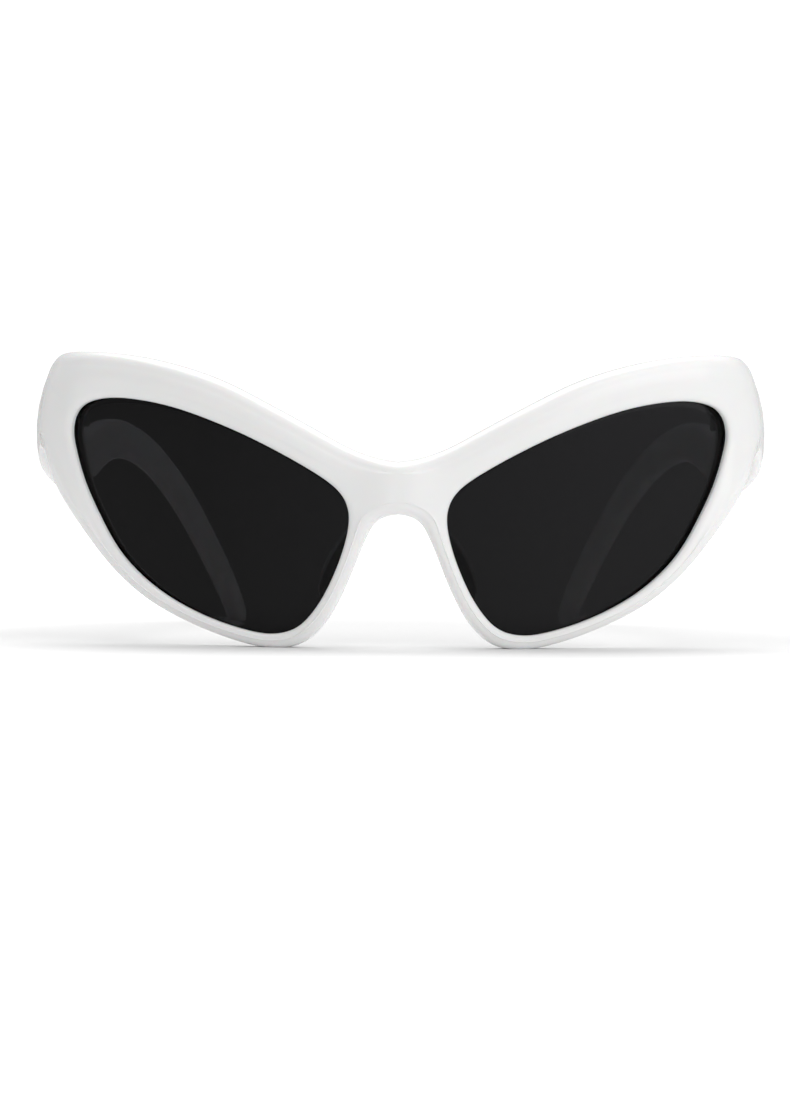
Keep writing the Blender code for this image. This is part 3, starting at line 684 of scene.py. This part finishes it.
def polished_nylon(name, low, high, rough):
    """Injection-moulded nylon, tumbled to a gloss: milky white, soft lights, a faint orange peel."""
    made, tree, where = new_material(name)
    cloud = grain(tree, where, 14.0)         # where the melt flowed together
    peel = grain(tree, where, 1.6, 1.0)      # orange peel of the mould, drawn coarse enough to show
    haze = spread(tree, grain(tree, where, 5.0), rough - 0.03, rough + 0.03)     # left by tumbling
    bump = add_node(tree, "ShaderNodeBump", {"Height": peel, "Strength": 0.05, "Distance": 0.00004})
    shader = add_node(tree, "ShaderNodeBsdfPrincipled",
                      {"Base Color": two_tone(tree, cloud, low, high),
                       "Roughness": haze.outputs["Result"],
                       "Normal": bump.outputs["Normal"], "IOR": 1.51, "Coat Weight": 0.15,
                       "Coat Roughness": 0.1, "Subsurface Weight": 0.12, "Subsurface Scale": 0.0015})
    output(tree, shader.outputs["BSDF"])
    return made


def tinted_polycarbonate():
    """Mass-dyed polycarbonate, taken as coated against reflections: clear, very dark, hardly mirrors.

    An IOR far under the 1.59 of the bare plastic stands for the coat.
    """
    made, tree, where = new_material("tinted_polycarbonate")
    # Lighter towards the top: a painted reflection over the dark dye.
    height = add_node(tree, "ShaderNodeSeparateXYZ", {"Vector": where}).outputs["Z"]
    rise = add_node(tree, "ShaderNodeMapRange",
                    {"Value": height, "From Min": 0.004, "From Max": 0.050})
    dust = spread(tree, grain(tree, where, 0.8, 3.0), 0.015, 0.03)
    dye_and_painted_reflection = two_tone(tree, rise.outputs["Result"], "#252526", "#2A2A2C")
    shader = add_node(tree, "ShaderNodeBsdfPrincipled",
                      {"Base Color": dye_and_painted_reflection, "Roughness": dust.outputs["Result"], "IOR": 1.2,
                       "Transmission Weight": 1.0})
    output(tree, shader.outputs["BSDF"])
    return made


def metal(name, low, high, rough, size_mm, stretch):
    """Bare metal with the fine marks of its making, which break up its shine."""
    made, tree, where = new_material(name)
    lines = grain(tree, where, size_mm, 4.0, stretch)
    shine = spread(tree, lines, rough - 0.07, rough + 0.09).outputs["Result"]
    bump = add_node(tree, "ShaderNodeBump", {"Height": lines, "Strength": 0.15, "Distance": 0.00002})
    shader = add_node(tree, "ShaderNodeBsdfPrincipled",
                      {"Base Color": two_tone(tree, lines, low, high), "Roughness": shine,
                       "Normal": bump.outputs["Normal"], "Metallic": 1.0})
    output(tree, shader.outputs["BSDF"])
    return made


def natural_nylon():
    """Nylon turned from rod, undyed: waxy, off-white, slightly see-through at the edge."""
    made, tree, where = new_material("natural_nylon")
    cloud = grain(tree, where, 0.7)
    shine = spread(tree, cloud, 0.42, 0.55)
    shader = add_node(tree, "ShaderNodeBsdfPrincipled",
                      {"Base Color": two_tone(tree, cloud, "#D9D7CC", "#E6E4DB"),
                       "Roughness": shine.outputs["Result"],
                       "IOR": 1.53, "Subsurface Weight": 0.3, "Subsurface Scale": 0.0006})
    output(tree, shader.outputs["BSDF"])
    return made


def studio_paper():
    """Seamless white paper: matt, glowing away from the glasses so that it meets the surround."""
    made, tree, where = new_material("studio_paper")
    fibre = grain(tree, where, 2.0, 3.0)
    far = add_node(tree, "ShaderNodeVectorMath", {0: where}, operation="LENGTH").outputs["Value"]
    glow = add_node(tree, "ShaderNodeMapRange", {"Value": far, **GLOW}, interpolation_type="SMOOTHSTEP")
    seen = add_node(tree, "ShaderNodeLightPath").outputs["Is Camera Ray"]
    shown = add_node(tree, "ShaderNodeMath", {0: glow.outputs["Result"], 1: seen}, operation="MULTIPLY")
    shader = add_node(tree, "ShaderNodeBsdfPrincipled",
                      {"Base Color": two_tone(tree, fibre, "#EAEAEA", "#EEEEEE"), "Roughness": 0.9,
                       "Specular IOR Level": 0.1, "Emission Strength": shown.outputs["Value"],
                       "Emission Color": (1, 1, 1, 1)})
    output(tree, shader.outputs["BSDF"])
    return made


def painted_light_card(left, right):
    """Grey card seen only through the lenses, glowing as painted light, with painted shade darker behind
    the wearer's right one.
    """
    made, tree, where = new_material("painted_light_card")
    across = add_node(tree, "ShaderNodeSeparateXYZ", {"Vector": where}).outputs["X"]
    share = add_node(tree, "ShaderNodeMapRange", {"Value": across, "From Min": -0.05, "From Max": 0.05})
    level = two_tone(tree, share.outputs["Result"], left, right)
    # The card glows: painted light seen through the lenses, with painted shade at its darker end.
    shader = add_node(tree, "ShaderNodeEmission", {"Color": level})
    output(tree, shader.outputs["Emission"])
    return made


# ---------------------------------------------------------------- repeated small parts

SCREW_SIZES = {
    "Head radius": SCREW_HEAD, "Head height": 0.5, "Shank radius": SCREW_SHANK,
    "Shank length": SCREW_REACH + LEAF_THICKNESS + 0.3, "Slot width": 0.24,
    "Slot length": 4 * SCREW_HEAD,
}
WIRE_SIZES = {"Radius": WIRE_RADIUS}


def new_tree(name, source, sizes, result):
    """A Geometry Nodes tree with a source, named sizes and a result."""
    tree = bpy.data.node_groups.new(name, "GeometryNodeTree")
    face = tree.interface
    face.new_socket(source, in_out="INPUT", socket_type="NodeSocketGeometry")
    for label in sizes:
        face.new_socket(label, in_out="INPUT", socket_type="NodeSocketFloat")
    face.new_socket(result, in_out="OUTPUT", socket_type="NodeSocketGeometry")
    return tree, add_node(tree, "NodeGroupInput").outputs


def grow(made, tree, sizes):
    """Put a tree on an object, with its sizes given in millimetres."""
    step = made.modifiers.new(tree.name, "NODES")
    step.node_group = tree
    for socket in tree.interface.items_tree:
        if socket.name in sizes:
            step[socket.identifier] = sizes[socket.name] * MM


def finish_tree(tree, made, result, skin):
    """End a tree in real meshes with their material."""
    real = add_node(tree, "GeometryNodeRealizeInstances", {"Geometry": made})
    skinned = add_node(tree, "GeometryNodeSetMaterial",
                       {"Geometry": real.outputs["Geometry"], "Material": skin})
    add_node(tree, "NodeGroupOutput", {result: skinned.outputs["Geometry"]})
    return tree


def screw_tree(skin):
    """One slotted screw, set at every point of the mesh it is given."""
    tree, given = new_tree("leaf_screws", "Places", SCREW_SIZES, "Screws")
    head = add_node(tree, "GeometryNodeMeshCylinder",
                    {"Vertices": 40, "Radius": given["Head radius"], "Depth": given["Head height"]})
    shank = add_node(tree, "GeometryNodeMeshCylinder",
                     {"Vertices": 24, "Radius": given["Shank radius"], "Depth": given["Shank length"]})
    half = add_node(tree, "ShaderNodeMath", {0: given["Shank length"], 1: 0.5}, operation="MULTIPLY")
    lift = add_node(tree, "ShaderNodeCombineXYZ", {"Z": half.outputs[0]})
    lowered = add_node(tree, "GeometryNodeTransform",
                       {"Geometry": shank.outputs["Mesh"], "Translation": lift.outputs["Vector"]})
    slot_size = add_node(tree, "ShaderNodeCombineXYZ",
                         {"X": given["Slot length"], "Y": given["Slot width"],
                          "Z": given["Head height"]})
    slot = add_node(tree, "GeometryNodeMeshCube", {"Size": slot_size.outputs["Vector"]})
    drop = add_node(tree, "ShaderNodeMath", {0: given["Head height"], 1: -0.55}, operation="MULTIPLY")
    low = add_node(tree, "ShaderNodeCombineXYZ", {"Z": drop.outputs[0]})
    slot_set = add_node(tree, "GeometryNodeTransform",
                        {"Geometry": slot.outputs["Mesh"], "Translation": low.outputs["Vector"]})
    joined = add_node(tree, "GeometryNodeMeshBoolean", operation="UNION")
    tree.links.new(head.outputs["Mesh"], joined.inputs["Mesh 2"])
    tree.links.new(lowered.outputs["Geometry"], joined.inputs["Mesh 2"])
    slotted = add_node(tree, "GeometryNodeMeshBoolean", {"Mesh 1": joined.outputs["Mesh"]},
                       operation="DIFFERENCE")
    tree.links.new(slot_set.outputs["Geometry"], slotted.inputs["Mesh 2"])
    facing = add_node(tree, "GeometryNodeInputNamedAttribute", {"Name": "facing"},
                      data_type="FLOAT_VECTOR")
    aimed = add_node(tree, "FunctionNodeAlignRotationToVector",
                     {"Vector": facing.outputs["Attribute"]}, axis="Z")
    spots = add_node(tree, "GeometryNodeInstanceOnPoints",
                     {"Points": given["Places"], "Instance": slotted.outputs["Mesh"],
                      "Rotation": aimed.outputs["Rotation"]})
    return finish_tree(tree, spots.outputs["Instances"], "Screws", skin)


def leaf_screws(tree, name, places, skin):
    """One mesh of screws, at places given as (point in millimetres, direction they are driven)."""
    mesh = bpy.data.meshes.new(name)
    mesh.from_pydata([point * MM for point, _ in places], [], [])
    facing = mesh.attributes.new("facing", "FLOAT_VECTOR", "POINT")
    for row, (_, direction) in zip(facing.data, places):
        row.vector = direction
    made = bpy.data.objects.new(name, mesh)
    bpy.context.scene.collection.objects.link(made)
    grow(made, tree, SCREW_SIZES)
    ease(made, 0.06)
    return settle(made, skin)


def screw_places(side, leaf):
    """Head middles and drive directions of the screws of one leaf."""
    turn = Matrix.Diagonal((side, 1, 1, 1)) @ leaf_frame(leaf.heading)
    drive = (turn @ Vector((0, 1, 0, 0))).to_3d()
    return [(turn @ Vector((leaf.screws, leaf.inner - 0.4, z)), drive) for z in SCREW_HEIGHTS]


def wire_tree(skin):
    """A round wire along a path of points."""
    tree, given = new_tree("drawn_wire", "Path", WIRE_SIZES, "Wire")
    path = add_node(tree, "GeometryNodeMeshToCurve", {"Mesh": given["Path"]})
    ring = add_node(tree, "GeometryNodeCurvePrimitiveCircle",
                    {"Resolution": 20, "Radius": given["Radius"]})
    swept = add_node(tree, "GeometryNodeCurveToMesh",
                     {"Curve": path.outputs["Curve"], "Profile Curve": ring.outputs["Curve"],
                      "Fill Caps": True})
    return finish_tree(tree, swept.outputs["Mesh"], "Wire", skin)


def channel_path(steps):
    """The middle of the temple, where the wire runs."""
    rows = [Vector(row) for row in CHANNEL]
    flat = spline(rows, ahead_of(rows[1::-1]), ahead_of(rows), steps) + [rows[-1]]
    return [place(p.x, p.y, thickness(p.x) / 2) for p in flat]


def core_wire(tree, side, skin):
    """The stiffening wire of one temple, as long as its channel."""
    name = f"wire_{SIDES[side]}"
    low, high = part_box(f"core_wire_{SIDES[side]}")
    points = [Vector((side * p.x, p.y, p.z)) * MM for p in channel_path(4)]
    kept = [p for p in points if low.y <= p.y <= high.y]
    mesh = bpy.data.meshes.new(name)
    mesh.from_pydata(kept, [(i, i + 1) for i in range(len(kept) - 1)], [])
    made = bpy.data.objects.new(name, mesh)
    bpy.context.scene.collection.objects.link(made)
    grow(made, tree, WIRE_SIZES)
    return settle(made, skin)


def ring_washers(bench):
    """The two washers of a hinge, turned with rounded rims, as one mesh."""
    turn = leaf_frame(90.0)
    bm = bmesh.new()
    inner, outer, soft = BORE_RADIUS + 0.02, WASHER_RADIUS, WASHER_EDGE
    for low, high in WASHERS:
        profile = [(inner, low + soft), (inner + soft, low),
                   (outer - soft, low), (outer, low + soft),
                   (outer, high - soft), (outer - soft, high),
                   (inner + soft, high), (inner, high - soft)]
        loops = []
        for k in range(WASHER_SIDES):
            angle = 2 * pi * k / WASHER_SIDES
            spot = [turn @ Vector((r * cos(angle), r * sin(angle), z)) for r, z in profile]
            loops.append([bm.verts.new(p) for p in spot])
        for k in range(WASHER_SIDES):
            skin_between(bm, loops[k], loops[(k + 1) % WASHER_SIDES])
    return bench.piece("washers", bm)


# ---------------------------------------------------------------- the studio, set up

def camera():
    """A long lens level with the bridge."""
    made = bpy.data.objects.new("camera", bpy.data.cameras.new("camera"))
    bpy.context.scene.collection.objects.link(made)
    made.data.lens = FOCAL_LENGTH
    made.data.sensor_width = 36.0
    made.data.clip_start = 0.01
    turn = Matrix.Rotation(radians(ORBIT), 4, "Z")
    bridge = Vector((0.0, CAD_BOX[0].y + CREST * MM, EYE_HEIGHT))
    where = bridge + turn @ Vector((SIDE_STEP, -CAMERA_DISTANCE, 0.0))
    tip = Matrix.Rotation(radians(90.0 + TIP), 4, "X") @ Matrix.Rotation(radians(ROLL), 4, "Z")
    made.matrix_world = Matrix.Translation(where) @ turn @ tip
    bpy.context.scene.camera = made


def area_light(name, where, target, size, power):
    """A soft box pointed at a target."""
    data = bpy.data.lights.new(name, "AREA")
    data.shape = "RECTANGLE"
    data.size, data.size_y = size
    data.energy = power
    made = bpy.data.objects.new(name, data)
    made.location = where
    made.rotation_euler = (Vector(target) - Vector(where)).to_track_quat("-Z", "Y").to_euler()
    bpy.context.scene.collection.objects.link(made)


def surround():
    """White for the camera, and a softer light for everything else."""
    world = bpy.data.worlds.new("surround")
    bpy.context.scene.world = world
    world.use_nodes = True
    tree = world.node_tree
    tree.nodes.clear()
    seen = add_node(tree, "ShaderNodeLightPath").outputs["Is Camera Ray"]
    plain = add_node(tree, "ShaderNodeBackground", {"Color": (1, 1, 1, 1), "Strength": SURROUND_SEEN})
    soft = add_node(tree, "ShaderNodeBackground",
                    {"Color": (1, 1, 1, 1), "Strength": SURROUND_LIGHT})
    both = add_node(tree, "ShaderNodeMixShader", {0: seen, 1: soft.outputs[0], 2: plain.outputs[0]})
    add_node(tree, "ShaderNodeOutputWorld", {"Surface": both.outputs[0]})


def studio():
    """White paper, a grey card glowing behind the lenses as painted light, a key light on the wearer's
    left, and a top light.
    """
    floor = into_object("floor", block(*PAPER))
    floor.data.materials.append(studio_paper())
    ends = (-CARD_REACH, CARD_REACH)
    card = into_object("card", loft([[Vector((x, *p)) for p in CARD_SIDE] for x in ends]))
    card.data.materials.append(painted_light_card(*CARD_PAINTED_LIGHT))
    card.visible_camera = card.visible_diffuse = card.visible_glossy = card.visible_shadow = False
    surround()
    for name, where, target, size, power in LIGHTS:
        area_light(name, where, target, size, power)
    bpy.context.scene.view_settings.view_transform = "Standard"


# ---------------------------------------------------------------- assembly

def show(piece, body, finish, *nodes):
    """Let a finished piece stand for its CAD nodes, on their body. The finish is not used."""
    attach(piece, body)
    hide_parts(*nodes)


Skins = namedtuple("Skins", "white pad lens silver steel wire nylon")


def make_skins():
    """Every finish on the glasses."""
    return Skins(
        white=polished_nylon("polished_white_nylon", "#F3F3F2", "#F7F7F7", 0.215),
        pad=polished_nylon("satin_white_nylon", "#EDEDEC", "#F1F1F0", 0.34),
        lens=tinted_polycarbonate(),
        # stamped and tumbled: warm grey, with an even scatter of small dents
        silver=metal("tumbled_nickel_silver", "#B9B8B4", "#CFCECA", 0.36, 0.5, (1, 1, 1)),
        # turned on a lathe: rings round the upright axis
        steel=metal("turned_stainless_steel", "#C4C4C6", "#DBDBDC", 0.35, 0.25, (1, 1, 5)),
        # drawn through a die: lines along the temple
        wire=metal("drawn_steel_wire", "#9C9CA0", "#B4B4B8", 0.37, 0.3, (1, 0.1, 1)),
        nylon=natural_nylon(),
    )


def build_front(benches, skins):
    """The front, cut level with the table and at the joints, with a seat for each end leaf."""
    front = into_object("front_shell", front_shell())
    benches[0].change(front, block(*BELOW_TABLE))
    for bench in benches:
        bench.change(front, block(*BEHIND_JOINT))
        leaf_seat(bench, front, FRONT_LEAF)
    show(settle(front, skins.white), "front", "front_plastic", "front_frame")


def build_arm(bench, skins):
    """A temple behind its joint, with a seat for its leaf."""
    hand = SIDES[bench.side]
    arm = bench.piece("arm", temple_shell())
    bench.change(arm, block(*AHEAD_OF_JOINT))
    bench.change(arm, block(*BELOW_TABLE))
    leaf_seat(bench, arm, TEMPLE_LEAF)
    show(settle(arm, skins.white), f"temple_{hand}", "temple_plastic", f"temple_{hand}")


def build_eye(bench, skins):
    """The lens and the nose pad of one side."""
    hand = SIDES[bench.side]
    lens = settle(bench.piece("tinted_lens", lens_blank()), skins.lens, 50)
    show(lens, "front", "tinted_lens", f"lens_{hand}")
    show(settle(nose_pad(bench), skins.pad), "front", "pad_plastic", f"nose_pad_{hand}")


def build_hinge(bench, skins, screws):
    """Both leaves of a hinge with their screws, the hinge screw and its two washers."""
    side, hand = bench.side, SIDES[bench.side]
    body = f"temple_{hand}"
    leaf = hinge_leaf(bench, "end_leaf", FRONT_LEAF, FRONT_BARRELS, (TEMPLE_BARREL,))
    show(settle(leaf, skins.silver, 30), "front", "hinge_steel", f"front_hinge_{hand}")
    leaf = hinge_leaf(bench, "arm_leaf", TEMPLE_LEAF, (TEMPLE_BARREL,), FRONT_BARRELS)
    show(settle(leaf, skins.silver, 30), body, "hinge_steel", f"temple_hinge_{hand}")
    pin = settle(hinge_pin(bench), skins.steel, 30)
    show(pin, "front", "screw_steel", f"hinge_screw_{hand}")
    rings = settle(ring_washers(bench), skins.nylon, 50)
    show(rings, "front", "washer_nylon", f"hinge_washer_lower_{hand}", f"hinge_washer_upper_{hand}")
    fixed = leaf_screws(screws, f"end_leaf_screws_{hand}", screw_places(side, FRONT_LEAF), skins.steel)
    show(fixed, "front", "screw_steel", f"front_screw_lower_{hand}", f"front_screw_upper_{hand}")
    fixed = leaf_screws(screws, f"arm_leaf_screws_{hand}", screw_places(side, TEMPLE_LEAF), skins.steel)
    show(fixed, body, "screw_steel", f"temple_screw_lower_{hand}", f"temple_screw_upper_{hand}")


def build_wire(bench, skins, wires):
    """The wire inside a temple."""
    hand = SIDES[bench.side]
    wire = core_wire(wires, bench.side, skins.wire)
    show(wire, f"temple_{hand}", "core_wire", f"core_wire_{hand}")


def main():
    """Set up the studio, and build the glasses."""
    camera()
    studio()
    skins = make_skins()
    screws, wires = screw_tree(skins.steel), wire_tree(skins.wire)
    benches = [Bench(side) for side in SIDES]
    build_front(benches, skins)
    for bench in benches:
        build_arm(bench, skins)
        build_eye(bench, skins)
        build_hinge(bench, skins, screws)
        build_wire(bench, skins, wires)
        bench.sweep()


main()
